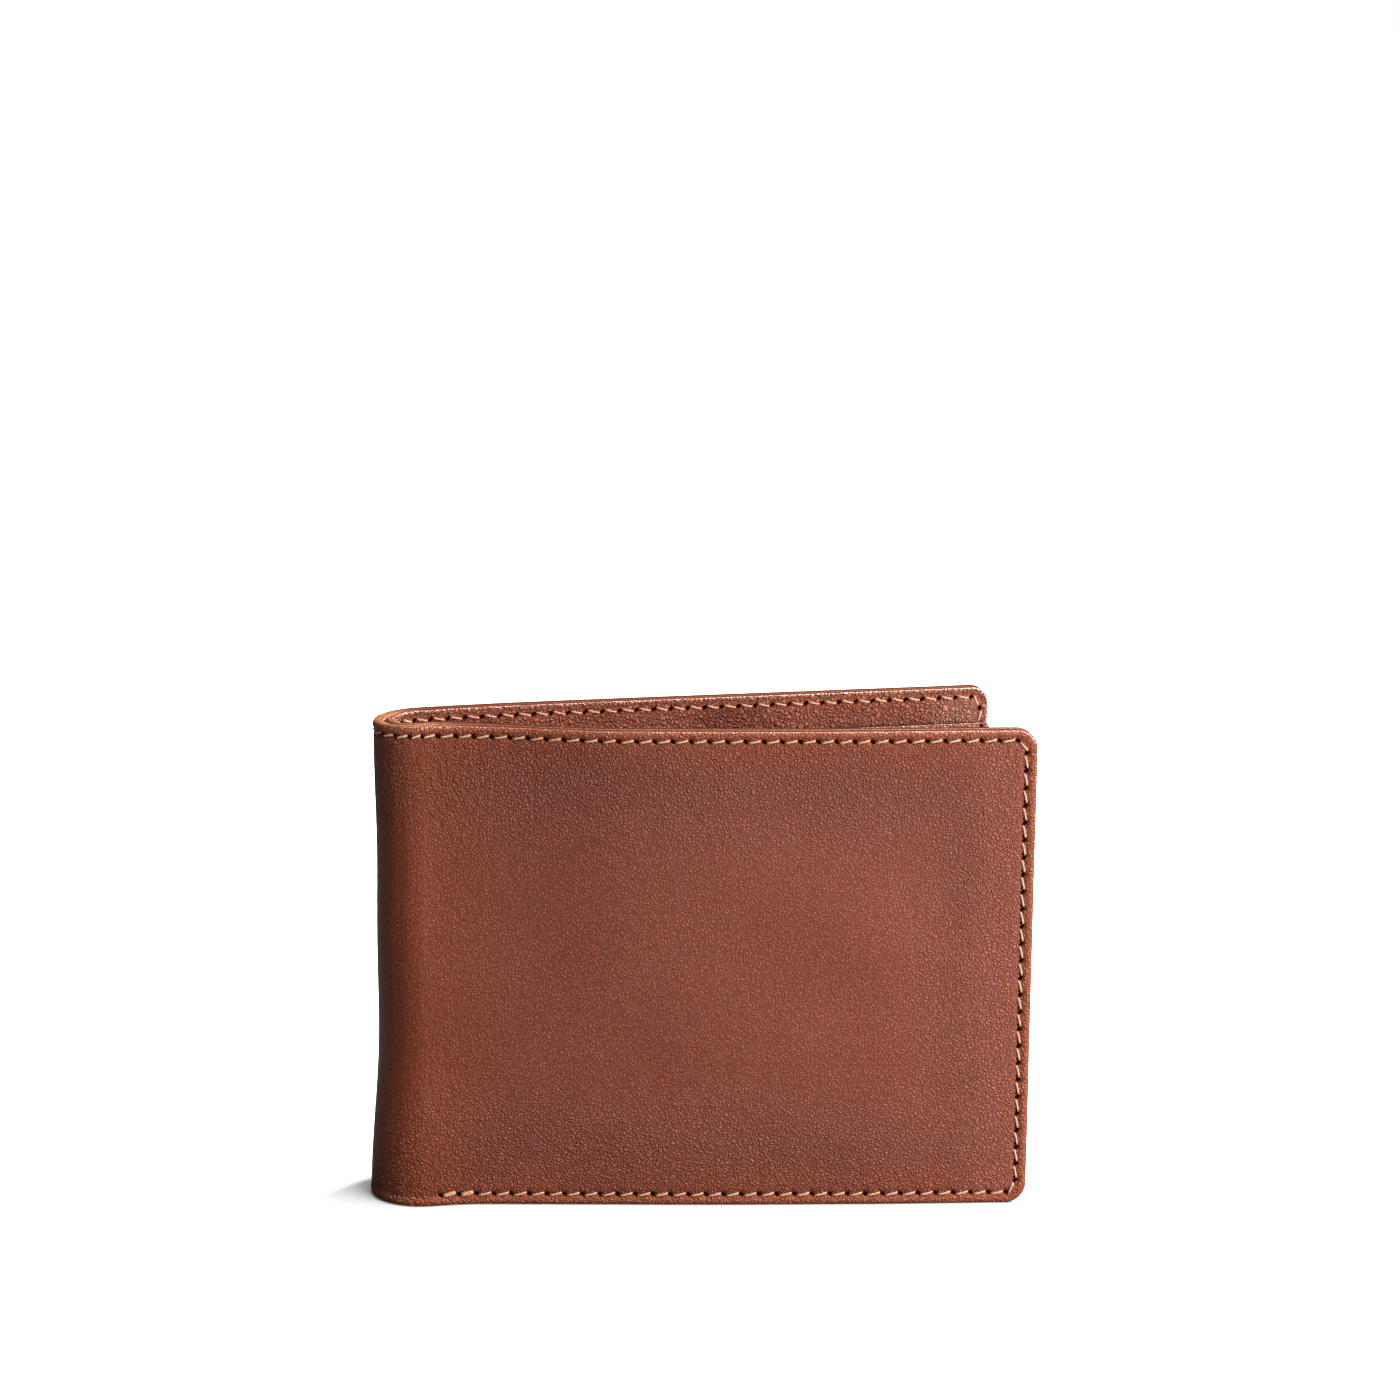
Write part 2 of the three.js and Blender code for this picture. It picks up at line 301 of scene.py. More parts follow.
class Sheet:
    """A sheet of leather or cloth with a fine shown face, a coarse hidden face and a round rim.

    s and z are its grid lines. outer and inner give the depth of its two faces from (s, z, distance to the
    edge), and shown says which of them is the fine one. radii gives the radius of each rounded corner."""

    def __init__(self, s, z, outer, inner, shown, holes, radii, rim):
        self.s, self.z, self.shown, self.holes = s, z, shown, holes
        flat_s, flat_z = np.meshgrid(s, z, indexing="ij")
        self.edge = np.min([flat_s - s[0], s[-1] - flat_s, flat_z - z[0], z[-1] - flat_z], axis=0)
        for (side_s, side_z), radius in radii.items():
            corner_s = s[0] if side_s == "s0" else s[-1]
            corner_z = z[0] if side_z == "z0" else z[-1]
            flat_s, flat_z = round_corner(flat_s, flat_z, corner_s, corner_z, radius)
        self.flat_s, self.flat_z = flat_s, flat_z
        depths = [outer(flat_s, flat_z, self.edge), inner(flat_s, flat_z, self.edge)]
        faces = [place(flat_s, flat_z, depth) for depth in depths]
        normals = [grid_normals(faces[0]), -grid_normals(faces[1])]
        first = 0 if shown == "outer" else 1
        self.fine, self.coarse = faces[first], faces[1 - first]
        self.fine_depth, self.coarse_depth = depths[first], depths[1 - first]
        self.fine_normals, self.coarse_normals = normals[first], normals[1 - first]
        self.hidden_s = hidden_lines(s, rim)
        self.hidden_z = hidden_lines(z, rim)

    def piece(self, name, material, slot, s_from=None, s_to=None):
        """The part of the sheet between two of its s lines, as a mesh object. The two faces share their
        points along the sheet's own edges, and the hidden one has its own points everywhere else."""
        count = len(self.z)
        a = 0 if s_from is None else int(np.argmin(abs(self.s - s_from)))
        b = len(self.s) - 1 if s_to is None else int(np.argmin(abs(self.s - s_to)))
        shared_i = (0, len(self.s) - 1)
        shared_j = (0, count - 1)
        columns = sorted({i for i in self.hidden_s if a <= i <= b} | {a, b})

        def fine_index(i, j):
            return (i - a) * count + j

        picked = []
        index = {}
        fine_count = (b - a + 1) * count
        for i in columns:
            for j in self.hidden_z:
                if i in shared_i or j in shared_j:
                    index[i, j] = fine_index(i, j)
                else:
                    index[i, j] = fine_count + len(picked)
                    picked.append((i, j))
        pick = tuple(np.array(picked).T)

        def both(shown, hidden):
            shown = shown[a : b + 1].reshape(fine_count, -1)
            return np.concatenate([shown, hidden[pick].reshape(len(picked), -1)])

        normals = self.fine_normals.copy()
        for side in (0, -1):
            normals[side, :] += self.coarse_normals[side, :]
            normals[1:-1, side] += self.coarse_normals[1:-1, side]
        points = both(self.fine, self.coarse)
        faces = self._faces(a, b, columns, index, fine_index, shared_i, shared_j)
        s_values, z_values = both(self.flat_s, self.flat_s), both(self.flat_z, self.flat_z)
        depth = both(self.fine_depth, self.coarse_depth)
        hole = nearest_hole(s_values.ravel(), z_values.ravel(), self.holes)
        values = {
            "flat": np.hstack([s_values, z_values, depth]),
            "edge": both(self.edge, self.edge).ravel(),
            "hole": np.hstack([hole, np.zeros((len(hole), 1))]),
        }
        normals = unit(both(normals, self.coarse_normals))
        return make_piece(name, points, faces, material, normals, values)

    def _faces(self, a, b, columns, index, fine_index, shared_i, shared_j):
        """Quads on the shown face. On the hidden face larger ones, whose sides along the sheet's own edges go
        through every point there."""
        outward = self.shown == "outer"
        quads = grid_quads(np.arange((b - a + 1) * len(self.z)).reshape(-1, len(self.z)))
        faces = (quads if outward else quads[:, ::-1]).tolist()
        for i0, i1 in zip(columns, columns[1:]):
            for j0, j1 in zip(self.hidden_z, self.hidden_z[1:]):
                loop = [index[i0, j0]]
                if j0 in shared_j:
                    loop += [fine_index(i, j0) for i in range(i0 + 1, i1)]
                loop.append(index[i1, j0])
                if i1 in shared_i:
                    loop += [fine_index(i1, j) for j in range(j0 + 1, j1)]
                loop.append(index[i1, j1])
                if j1 in shared_j:
                    loop += [fine_index(i, j1) for i in range(i1 - 1, i0, -1)]
                loop.append(index[i0, j1])
                if i0 in shared_i:
                    loop += [fine_index(i0, j) for j in range(j1 - 1, j0, -1)]
                faces.append(loop[::-1] if outward else loop)
        return faces


# --- Needle holes ---
def edge_route(run, inset):
    """A place on the seam round a half: run is the distance from the fold line along the top, round the free
    end and back along the bottom, and inset the distance to the edge."""
    run = np.asarray(run, float)
    inset = np.broadcast_to(inset, run.shape)
    top_corner = TOP_RUN
    straight = top_corner + CORNER_RUN
    bottom_corner = straight + STRAIGHT_END
    bottom = bottom_corner + CORNER_RUN
    turned = sum(np.clip((run - start) / CORNER_RUN, 0, 1) for start in (top_corner, bottom_corner))
    angle = np.pi / 2 * (1 - turned)
    down = np.clip(run - straight, 0, STRAIGHT_END)
    along = np.minimum(run, top_corner) - np.maximum(run - bottom, 0)
    s = along + (CORNER - inset) * np.cos(angle)
    z = HEIGHT - CORNER - down + (CORNER - inset) * np.sin(angle)
    return s, z


def edge_holes(side):
    """Needle holes of one half as rows of (s, z, axis_s, axis_z). The holes are slits, and the axis is the
    way that each slit points: forwards along the strip and away from the edge."""
    top = PITCH * np.arange(STITCHES_ALONG_TOP)
    end = TOP_RUN + END_RUN * np.arange(STITCHES_AROUND_END) / STITCHES_AROUND_END
    bottom = TOP_RUN + END_RUN + PITCH * np.arange(BOTTOM_STITCHES + 1)
    runs = np.concatenate([top, end, bottom])
    places = np.stack(edge_route(runs, SEAM_INSET), -1)
    ahead = unit(np.stack(edge_route(runs + 0.01, SEAM_INSET), -1) - places)
    inwards = np.stack([ahead[:, 1], -ahead[:, 0]], -1)
    axes = side * math.cos(HOLE_ANGLE) * ahead + math.sin(HOLE_ANGLE) * inwards
    return np.concatenate([places, axes], 1) * (side, 1, side, 1)


EDGE_HOLES = {side: edge_holes(side) for side in (1, -1)}
END_HEIGHTS = [z for s, z in EDGE_HOLES[1][:, :2] if s > TOP_RUN + 1]


def stack_holes(side):
    """Needle holes of the seam that holds the card slots beside the spine, level with the free end's."""
    heights = sorted(z for z in END_HEIGHTS if CORNER < z < STACK_SEAM_TOP)
    rows = [(side * STACK_SEAM, z, side * math.sin(HOLE_ANGLE), math.cos(HOLE_ANGLE)) for z in heights]
    return np.array(rows)


STACK_HOLES = {side: stack_holes(side) for side in (1, -1)}
OUTER_HOLES = np.concatenate([EDGE_HOLES[1], EDGE_HOLES[-1]])
POCKET_HOLES = np.concatenate([OUTER_HOLES, STACK_HOLES[1], STACK_HOLES[-1]])


def nearest_hole(s, z, holes):
    """Places measured from the nearest hole: along its slit and across it. FAR_AWAY where no hole is near."""
    shape = np.shape(s)
    s, z = np.ravel(s), np.ravel(z)
    nearest = np.full(s.shape, FAR_AWAY)
    local = np.full((len(s), 2), FAR_AWAY)
    for hole_s, hole_z, axis_s, axis_z in holes:
        close = np.flatnonzero((np.abs(s - hole_s) < NEAR_HOLE) & (np.abs(z - hole_z) < NEAR_HOLE))
        off_s, off_z = s[close] - hole_s, z[close] - hole_z
        distance = np.hypot(off_s, off_z)
        better = distance < nearest[close]
        chosen = close[better]
        nearest[chosen] = distance[better]
        local[chosen, 0] = (off_s * axis_s + off_z * axis_z)[better]
        local[chosen, 1] = (off_z * axis_s - off_s * axis_z)[better]
    return local.reshape(shape + (2,))


def seam_relief(s, z, edge, holes):
    """How deep the seam has pulled the leather in: a trough along the thread, tighter at each hole."""
    along, across = np.moveaxis(nearest_hole(s, z, holes), -1, 0)
    distance = np.hypot(along, across)
    slit = np.hypot(along / HOLE_LENGTH, across / HOLE_WIDTH)
    trough = TROUGH_DEPTH * bell(edge - SEAM_INSET, TROUGH_WIDTH) * bell(distance, TROUGH_REACH, 4)
    return trough + PULL_DEPTH * bell(distance, PULL_REACH) + HOLE_DEPTH * bell(slit, 1)


# --- Stitches ---
def thread(name, starts, ends, depth, face):
    """Stitches as twisted lengths of thread that dive into their holes. starts and ends are (s, z) pairs,
    depth is the depth of the face they lie on, and face is -1 for an outer face and 1 for an inner one."""
    rings, around = 13, 12
    t = np.linspace(0, 1, rings)[None, :, None]
    turn = np.linspace(0, 2 * np.pi, around, endpoint=False)[None, None, :]
    starts, ends, depth = (np.asarray(value, float) for value in (starts, ends, depth))
    run = ends - starts
    length = np.linalg.norm(run, axis=1)[:, None]
    across = np.stack([-run[:, 1], run[:, 0]], -1) / length
    from_middle = np.abs(2 * t - 1)
    bow = 1 - from_middle**5
    taper = 1 - END_TAPER * from_middle**8
    strands = 1 + STRAND_RELIEF * np.cos(STRANDS * turn - 2 * np.pi * TURNS_PER_STITCH * t)
    body = THREAD_RADIUS * taper * strands
    sideways = body * np.cos(turn)
    rise = body * np.sin(turn) * FLATTENING + THREAD_RADIUS * BOW * bow - THREAD_RADIUS * SINK
    s = starts[:, 0, None, None] + run[:, 0, None, None] * t + across[:, 0, None, None] * sideways
    z = starts[:, 1, None, None] + run[:, 1, None, None] * t + across[:, 1, None, None] * sideways
    n = depth[:, None, None] + face * rise
    points = place(s, z, n).reshape(-1, 3)

    ring = np.arange(len(starts) * rings * around).reshape(len(starts), rings, around)
    after = np.roll(ring, -1, axis=2)
    quads = np.stack([ring[:, :-1], after[:, :-1], after[:, 1:], ring[:, 1:]], -1).reshape(-1, 4)
    outward = face < 0
    faces = quads.tolist() if outward else quads[:, ::-1].tolist()
    for first, last in zip(ring[:, 0].tolist(), ring[:, -1].tolist()):
        faces.append(first[::-1] if outward else first)
        faces.append(last if outward else last[::-1])
    along = t * length[:, :, None]
    twist = np.stack(np.broadcast_arrays(along, turn, depth[:, None, None]), -1)
    return make_piece(name, points, faces, THREAD, values={"flat": twist.reshape(-1, 3)})


def stitches_between(holes, side):
    """Starts and ends of the stitches from each hole to the next. A stitch leaves a slit at its near end and
    enters the next one at its far end. side is 1 where the slits point the way the seam runs, and -1 where
    they point back."""
    reach = side * SLIT_REACH * HOLE_LENGTH * holes[:, 2:]
    return holes[:-1, :2] + reach[:-1], holes[1:, :2] - reach[1:]


# --- Materials ---
class Nodes:
    """A material's node tree, with a short way to add and link nodes."""

    def __init__(self, name):
        self.material = bpy.data.materials.new(name)
        self.material.use_nodes = True
        self.tree = self.material.node_tree
        self.shader = self.tree.nodes["Principled BSDF"]

    def put(self, socket, value):
        if isinstance(value, bpy.types.NodeSocket):
            self.tree.links.new(value, socket)
        else:
            socket.default_value = value

    def add(self, kind, inputs=None, **settings):
        node = self.tree.nodes.new(kind)
        for key, value in settings.items():
            setattr(node, key, value)
        for key, value in (inputs or {}).items():
            self.put(node.inputs[key], value)
        return node

    def attribute(self, name, output):
        return self.add("ShaderNodeAttribute", attribute_name=name).outputs[output]

    def maths(self, operation, a, b=0.0):
        return self.add("ShaderNodeMath", {0: a, 1: b}, operation=operation).outputs[0]

    def plus(self, a, b):
        return self.maths("ADD", a, b)

    def minus(self, a, b):
        return self.maths("SUBTRACT", a, b)

    def times(self, a, b):
        return self.maths("MULTIPLY", a, b)

    def size_of(self, a):
        return self.maths("ABSOLUTE", a)

    def vector(self, operation, a, b):
        return self.add("ShaderNodeVectorMath", {0: a, 1: b}, operation=operation).outputs[0]

    def ramp(self, value, low, high):
        """0 at low and 1 at high, with soft ends. low may be the larger of the two."""
        inputs = {"Value": value, "From Min": low, "From Max": high}
        return self.add("ShaderNodeMapRange", inputs, interpolation_type="SMOOTHSTEP").outputs[0]

    def mix(self, factor, a, b):
        node = self.add("ShaderNodeMix", {0: factor}, data_type="RGBA")
        for socket, value in ((node.inputs[6], a), (node.inputs[7], b)):
            self.put(socket, value if isinstance(value, bpy.types.NodeSocket) else (*value, 1))
        return node.outputs[2]

    def noise(self, vector, scale, detail=3.0, roughness=0.5):
        inputs = {"Vector": vector, "Scale": scale, "Detail": detail, "Roughness": roughness}
        return self.add("ShaderNodeTexNoise", inputs).outputs[0]

    def bump(self, height, strength, depth):
        inputs = {"Height": height, "Strength": strength, "Distance": depth * MM}
        return self.add("ShaderNodeBump", inputs).outputs[0]

    def shade(self, **inputs):
        for key, value in inputs.items():
            self.put(self.shader.inputs[key.replace("_", " ")], value)
        return self.material


DARK_EDGE = (0.06, 0.017, 0.007)
BARE_EDGE = (0.2, 0.09, 0.042)
# Painted shadow inside the needle slits.
PAINTED_HOLE_SHADOW = (0.03, 0.003, 0.001)
# Where along the strip the darker tone and the painted shade round the fold are strongest.
FOLD_SHADE_MIDDLE = 4.0


def scaled(colour, factor):
    return tuple(factor * value for value in colour)


class Leather(Nodes):
    """Aniline leather. Distances are in millimetres, from the nearest edge unless the name says otherwise."""

    def __init__(self, name, grain):
        super().__init__(name)
        self.flat = self.attribute("flat", "Vector")
        self.edge = self.attribute("edge", "Fac")
        self.along = self.add("ShaderNodeSeparateXYZ", {0: self.flat}).outputs[0]
        self.from_fold = self.size_of(self.minus(self.along, FOLD_SHADE_MIDDLE))
        self.mottle = self.noise(self.flat, 0.05, 4.0, 0.5)
        self.cloud = self.noise(self.flat, 0.4, 4.0, 0.6)
        self.on_crest = self.ramp(self.edge, 0.26, 0.12)
        self.off_crest = self.minus(1.0, self.on_crest)
        self.in_hole = self.hole_mask()
        self.pebbles, self.pores = self.grain_of(grain)

    def hole_mask(self):
        """1 inside the needle slits."""
        slit_size = (1 / HOLE_LENGTH, 1 / HOLE_WIDTH, 0.0)
        slit = self.vector("MULTIPLY", self.attribute("hole", "Vector"), slit_size)
        from_slit = self.add("ShaderNodeVectorMath", {0: slit}, operation="LENGTH").outputs["Value"]
        return self.ramp(from_slit, 1.15, 0.75)

    def grain_of(self, size):
        """Irregular pebbles of the given size, and finer pores."""
        warp = self.add("ShaderNodeTexNoise", {"Vector": self.flat, "Scale": 0.9, "Detail": 2.0})
        centred = self.vector("SUBTRACT", warp.outputs["Color"], (0.5, 0.5, 0.5))
        moved = self.add("ShaderNodeVectorMath", {0: centred, "Scale": 1.1 * size}, operation="SCALE")
        warped = self.vector("ADD", self.flat, moved.outputs[0])
        inputs = {"Vector": warped, "Scale": 1 / size}
        cells = self.add("ShaderNodeTexVoronoi", inputs, feature="DISTANCE_TO_EDGE")
        pebbles = self.ramp(cells.outputs["Distance"], 0.0, 0.32)
        return pebbles, self.noise(warped, 1.6 / size, 4.0, 0.65)

    def hide_colour(self, deep, body, pale, rim, burnish_and_shade):
        """The softly mottled body, warmer towards the edges, darker round the fold as tone and painted shade,
        and paler at the free end as painted sheen. burnish_and_shade is how strong the warmer colour and fold
        shade are."""
        base = self.mix(self.ramp(self.mottle, 0.36, 0.64), deep, body)
        base = self.mix(self.times(self.ramp(self.cloud, 0.4, 0.8), 0.25), base, pale)
        warm = self.times(self.ramp(self.edge, 11.0, 1.5), self.ramp(self.mottle, 0.25, 0.6))
        base = self.mix(self.times(warm, burnish_and_shade), base, rim)
        # Darker, more orange round the fold: partly the leather's tone, partly painted shade where the fold
        # turns away from the light.
        fold_tone_and_shade = self.plus(self.times(self.ramp(self.edge, 32.0, 4.0), 0.4), 0.6)
        fold_tone_and_shade = self.times(fold_tone_and_shade, self.ramp(self.from_fold, 27.0, 8.0))
        base = self.mix(self.times(fold_tone_and_shade, 1.8 * burnish_and_shade), base, scaled(rim, 0.66))
        # Paler near the free ends: a painted sheen.
        painted_sheen = self.ramp(self.size_of(self.along), REACH - 14.0, REACH - 7.0)
        return self.mix(self.times(painted_sheen, 0.5), base, scaled(pale, 1.3))

    def edge_colour(self, base, deep, rim):
        """Adds the rim's colour, specks of tone and painted shade in the pores, the painted edge, its bare
        stretch and painted shadow in the holes.
        """
        outside_seam = self.ramp(self.edge, SEAM_INSET, SEAM_INSET - 0.5)
        base = self.mix(self.times(outside_seam, 0.9), base, rim)
        # Darker in the grain's furrows and pores: partly the leather's own tone, partly painted shade.
        pore_tone_and_shade = self.ramp(self.plus(self.times(self.pebbles, 0.4), self.pores), 0.95, 0.5)
        base = self.mix(self.times(pore_tone_and_shade, 0.6), base, scaled(deep, 0.35))
        base = self.mix(self.on_crest, base, DARK_EDGE)
        bare = self.times(self.ramp(self.from_fold, 20.0, 8.0), self.ramp(self.edge, 0.2, 0.1))
        base = self.mix(self.times(bare, self.ramp(self.cloud, 0.2, 0.6)), base, BARE_EDGE)
        return self.mix(self.in_hole, base, PAINTED_HOLE_SHADOW)

    def relief(self):
        """Pebbles, pores, and creases near the fold. All of them stand higher towards the edges, and the
        painted edge is smooth."""
        upright = self.add("ShaderNodeMapping", {"Vector": self.flat, "Scale": (1.1, 0.28, 0.3)})
        near_fold = self.ramp(self.from_fold, 34.0, 10.0)
        creases = self.times(self.noise(upright.outputs[0], 1.0, 3.0, 0.6), near_fold)
        height = self.plus(self.times(self.pebbles, 0.55), self.times(self.pores, 0.6))
        height = self.plus(height, self.times(creases, 1.2))
        near_edge = self.plus(self.times(self.ramp(self.edge, 26.0, 5.0), 2.0), 1.0)
        return self.times(self.times(height, near_edge), self.off_crest)

    def roughness(self, gloss):
        span = {"Value": self.cloud, "To Min": gloss - 0.05, "To Max": gloss + 0.1}
        uneven = self.add("ShaderNodeMapRange", span).outputs[0]
        return self.plus(uneven, self.times(self.on_crest, 0.35))

    def polish(self, shine):
        """More outside the seam, and none on the painted edge and in the holes."""
        outside_seam = self.plus(self.times(self.ramp(self.edge, 2.6, 1.6), 0.8), 1.0)
        open_leather = self.times(outside_seam, self.minus(1.0, self.in_hole))
        return self.times(self.times(self.off_crest, shine), open_leather)


def leather(name, deep, body, pale, rim, grain, grain_depth, gloss, shine=0.4, burnish_and_shade=0.5):
    """grain is the size of its pebbles and grain_depth their height, both in millimetres."""
    nodes = Leather(name, grain)
    base = nodes.edge_colour(nodes.hide_colour(deep, body, pale, rim, burnish_and_shade), deep, rim)
    normal = nodes.bump(nodes.relief(), 1.0, grain_depth)
    nodes.shade(Base_Color=base, Roughness=nodes.roughness(gloss), Normal=normal)
    return nodes.shade(Specular_IOR_Level=nodes.polish(shine))


def cloth(name, dark, light, weave_size=0.45):
    """Thin plain-woven lining cloth."""
    nodes = Nodes(name)
    flat = nodes.attribute("flat", "Vector")
    apart = nodes.add("ShaderNodeSeparateXYZ", {0: flat})
    warp, weft = (
        nodes.maths("SINE", nodes.times(apart.outputs[axis], 2 * math.pi / weave_size)) for axis in (0, 1)
    )
    weave = nodes.ramp(nodes.times(warp, weft), -1.0, 1.0)
    speckle = nodes.noise(flat, 1.5, 4.0)
    base = nodes.mix(weave, dark, light)
    base = nodes.mix(nodes.times(speckle, 0.3), base, dark)
    normal = nodes.bump(weave, 0.8, 0.05)
    return nodes.shade(Base_Color=base, Roughness=0.85, Normal=normal, Sheen_Weight=0.2)


def board_material():
    """Bonded leather board: short fibres pressed flat."""
    nodes = Nodes("bonded_board")
    flat = nodes.attribute("flat", "Vector")
    stretched = nodes.add("ShaderNodeMapping", {"Vector": flat, "Scale": (0.5, 2.0, 1.0)})
    fibres = nodes.noise(stretched.outputs[0], 2.0, 6.0, 0.7)
    base = nodes.mix(nodes.ramp(fibres, 0.3, 0.7), (0.2, 0.12, 0.07), (0.42, 0.3, 0.19))
    return nodes.shade(Base_Color=base, Roughness=0.9, Normal=nodes.bump(fibres, 0.6, 0.06))


def thread_material(stitch_length=2.7):
    """Waxed thread: strands of finer fibres that wind round each other, with painted shade between them."""
    nodes = Nodes("waxed_thread")
    flat = nodes.attribute("flat", "Vector")
    apart = nodes.add("ShaderNodeSeparateXYZ", {0: flat})
    turned = nodes.times(apart.outputs[1], float(STRANDS))
    wound = nodes.minus(turned, nodes.times(apart.outputs[0], 2 * math.pi * TURNS_PER_STITCH / stitch_length))
    # Lighter on the strands' crowns and darker in the grooves between them: painted shade.
    painted_strand_shading = nodes.ramp(nodes.maths("COSINE", wound), -1.0, 0.4)
    fibres = nodes.noise(flat, 7.0, 3.0)
    base = nodes.mix(painted_strand_shading, (0.55, 0.22, 0.11), (1.0, 0.66, 0.46))
    base = nodes.mix(nodes.times(fibres, 0.35), base, (0.6, 0.3, 0.15))
    normal = nodes.bump(fibres, 0.4, 0.03)
    return nodes.shade(Base_Color=base, Roughness=0.5, Normal=normal, Sheen_Weight=0.15)


SHELL_LEATHER = leather(
    "cognac_leather",
    deep=(0.345, 0.081, 0.046), body=(0.37, 0.092, 0.054), pale=(0.4, 0.115, 0.074), rim=(0.53, 0.1, 0.014),
    grain=0.6, grain_depth=0.12, gloss=0.4,
)
# The lining's pale rim colour is a painted highlight along its edges, strongest between the seam and the
# edge.
LINING_LEATHER = leather(
    "lining_leather",
    deep=(0.38, 0.085, 0.045), body=(0.6, 0.165, 0.095), pale=(0.8, 0.38, 0.26), rim=(0.9, 0.3, 0.15),
    grain=0.8, grain_depth=0.5, gloss=0.27, shine=0.6,
)
POCKET_LEATHER = leather(
    "pocket_leather",
    deep=(0.3, 0.066, 0.032), body=(0.34, 0.08, 0.04), pale=(0.385, 0.1, 0.056), rim=(0.41, 0.09, 0.02),
    grain=0.6, grain_depth=0.14, gloss=0.4, burnish_and_shade=0.2,
)
POCKET_CLOTH = cloth("pocket_cloth", dark=(0.02, 0.011, 0.007), light=(0.055, 0.03, 0.018))
BOARD = board_material()
THREAD = thread_material()


# --- Layers inside a half, from the frame's boxes ---
Box = namedtuple("Box", "s0 s1 z0 z1 n0 n1")
LAYERS = ["bill_wall", "card_panel", *(f"card_slot_{i}" for i in CARD_SLOTS), "card_pocket"]
BACKINGS = [f"slot_backing_{i}" for i in CARD_SLOTS]


def layer_box(name):
    low, high = (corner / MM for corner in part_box("front_" + name))
    start = low.x - CENTRE.x + HALF_BEND
    end = high.x - CENTRE.x + HALF_BEND
    return Box(start, end, low.z, high.z, low.y - front_low.y, high.y - front_low.y)


BOXES = {name: layer_box(name) for name in ["lining", "stiffener"] + LAYERS + BACKINGS}
# The lining's own box reaches round the bend, so its depth comes from the stiffener that it lies on.
LINING_FACE = BOXES["stiffener"].n1 + LINING_GLUE + LINING


def inside_face(s, z):
    """Depth of the innermost face at a place on either half."""
    s = np.abs(s)
    face = np.full(np.shape(s), LINING_FACE)
    for box in (BOXES[name] for name in LAYERS):
        within = (s >= box.s0) & (s <= box.s1) & (z >= box.z0) & (z <= box.z1)
        face = np.where(within, np.maximum(face, box.n1), face)
    return face


# --- Shell and lining ---
FOLD_CUTS = [-SHELL_SPLIT, -HINGE_STEP, 0.0, HINGE_STEP, SHELL_SPLIT]
SPINE_PLACES = ("back", "middle", "front")
TOP_HOLE_LINES = [
    side * PITCH * i + offset
    for side in (1, -1)
    for i in range(STITCHES_ALONG_TOP + 1)
    for offset in HOLE_OFFSETS
]
END_HOLE_LINES = [z + offset for z in END_HEIGHTS for offset in HOLE_OFFSETS]


def strip_grid(reach, z0, z1, rim):
    ends = [side * (reach - d) for side in (1, -1) for d in rim_lines(rim)]
    s = spread(-reach, reach, FOLD_CUTS + ends + TOP_HOLE_LINES, STRIP_STEP_S)
    sides = [z0 + d for d in rim_lines(rim)] + [z1 - d for d in rim_lines(rim)]
    z = spread(z0, z1, sides + END_HOLE_LINES, STRIP_STEP_Z)
    return s, z


def all_corners(radius):
    return {(a, b): radius for a in ("s0", "s1") for b in ("z0", "z1")}


def fold_pieces(sheet, name, material, slot, replaced):
    """Cuts a sheet that runs round the spine into its six pieces. The four at the spine stand for the three
    strips of it in the frame."""
    for side, start, end in (("back", None, FOLD_CUTS[0]), ("front", FOLD_CUTS[-1], None)):
        half = sheet.piece(f"{side}_{name}", material, slot, start, end)
        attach(half, side)
        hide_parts(f"{side}_{replaced}")
    for k, (start, end) in enumerate(zip(FOLD_CUTS, FOLD_CUTS[1:])):
        piece = sheet.piece(f"spine_{name}_{k + 1}", material, slot, start, end)
        bend_at_hinge(piece, k)
        if k < len(SPINE_PLACES):
            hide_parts(f"spine_{replaced}_{SPINE_PLACES[k]}")


def bend_at_hinge(piece, k):
    """Bakes the piece's transform into its mesh; the hinge k is not used."""
    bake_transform(piece)


def make_shell():
    s, z = strip_grid(REACH, 0.0, HEIGHT, SHELL_RIM)

    def outer(flat_s, flat_z, edge):
        puff = -SHELL_PUFF * hill(edge, centre=1.0, before=0.8, after=0.9)
        return rounding(edge, SHELL_RIM) + puff + seam_relief(flat_s, flat_z, edge, OUTER_HOLES)

    def inner(flat_s, flat_z, edge):
        hem = HEM * (1 - ease(edge, HEM_WIDTH, HEM_WIDTH + HEM_STEP))
        return SHELL + hem - rounding(edge, SHELL_RIM)

    sheet = Sheet(s, z, outer, inner, "outer", OUTER_HOLES, all_corners(CORNER), SHELL_RIM)
    fold_pieces(sheet, "shell_leather", SHELL_LEATHER, "shell_leather", "shell")


def loose_lining(s):
    """How far the lining stands off the shell where it goes round the spine."""
    return LOOSE_LINING * hill(s, centre=0, before=13, after=13)


